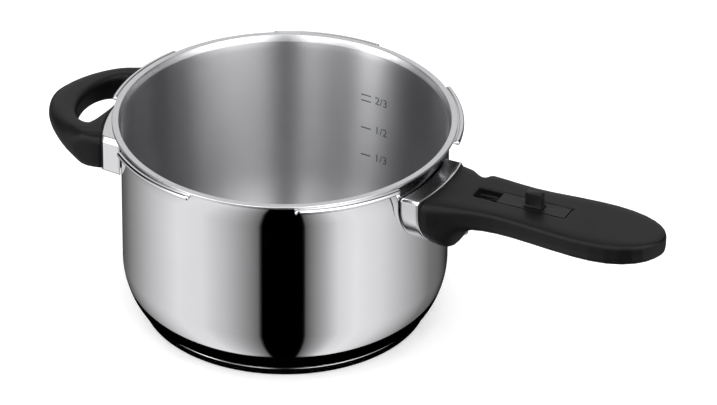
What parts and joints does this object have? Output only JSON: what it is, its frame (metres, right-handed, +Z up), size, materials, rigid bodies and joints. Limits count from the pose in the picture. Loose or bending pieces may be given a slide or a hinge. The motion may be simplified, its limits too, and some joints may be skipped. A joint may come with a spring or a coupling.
{
  "type": "pressure cooker pot",
  "caption": "Lidless stovetop pressure cooker pot with sandwich base, bayonet lugs on the rim, long handle with sprung lid catch slide, and side loop handle.",
  "frame": {"origin": "centre of the flat underside of the base, on the pot's axis", "axes": "+X along the long handle, away from the pot; +Z up along the pot's axis; +Y to the left of the long handle seen from the pot"},
  "size_m": [0.3727, 0.1976, 0.118],
  "materials": {
    "pot_steel": "mirror polished outside, satin inside",
    "base_steel": "polished side, turned underside",
    "core_aluminium": "rolled",
    "bracket_steel": "mill",
    "collar_steel": "mirror polished",
    "seal_black": "matte",
    "grip_black": "fine moulded satin",
    "slide_black": "fine moulded satin",
    "screw_steel": "zinc plated",
    "nut_brass": "turned",
    "spring_steel": "drawn wire"
  },
  "bodies": {
    "pot": {"pot_body": "pot_steel", "base_core": "core_aluminium", "base_cap": "base_steel", "long_bracket": "bracket_steel", "long_ferrule": "collar_steel", "long_gasket": "seal_black", "long_grip": "grip_black", "clamp_screw": "screw_steel", "clamp_washer": "screw_steel", "clamp_nut": "nut_brass", "slide_spring": "spring_steel", "spring_pin": "screw_steel", "track_cover": "slide_black", "cover_screws": "screw_steel", "side_bracket": "bracket_steel", "side_ferrule": "collar_steel", "side_gasket": "seal_black", "side_grip": "grip_black", "side_screws": "screw_steel", "side_washers": "screw_steel", "side_nuts": "nut_brass"},
    "slide": {"slide_plate": "slide_black", "slide_post": "slide_black"}
  },
  "joints": [
    {"name": "catch_slide", "type": "slide", "parent": "pot", "child": "slide", "axis": [-1, 0, 0], "range_m": [0, 0.0135], "stiffness_N_per_m": 250, "springref_m": -0.004, "deforming": ["slide_spring"]}
  ]
}
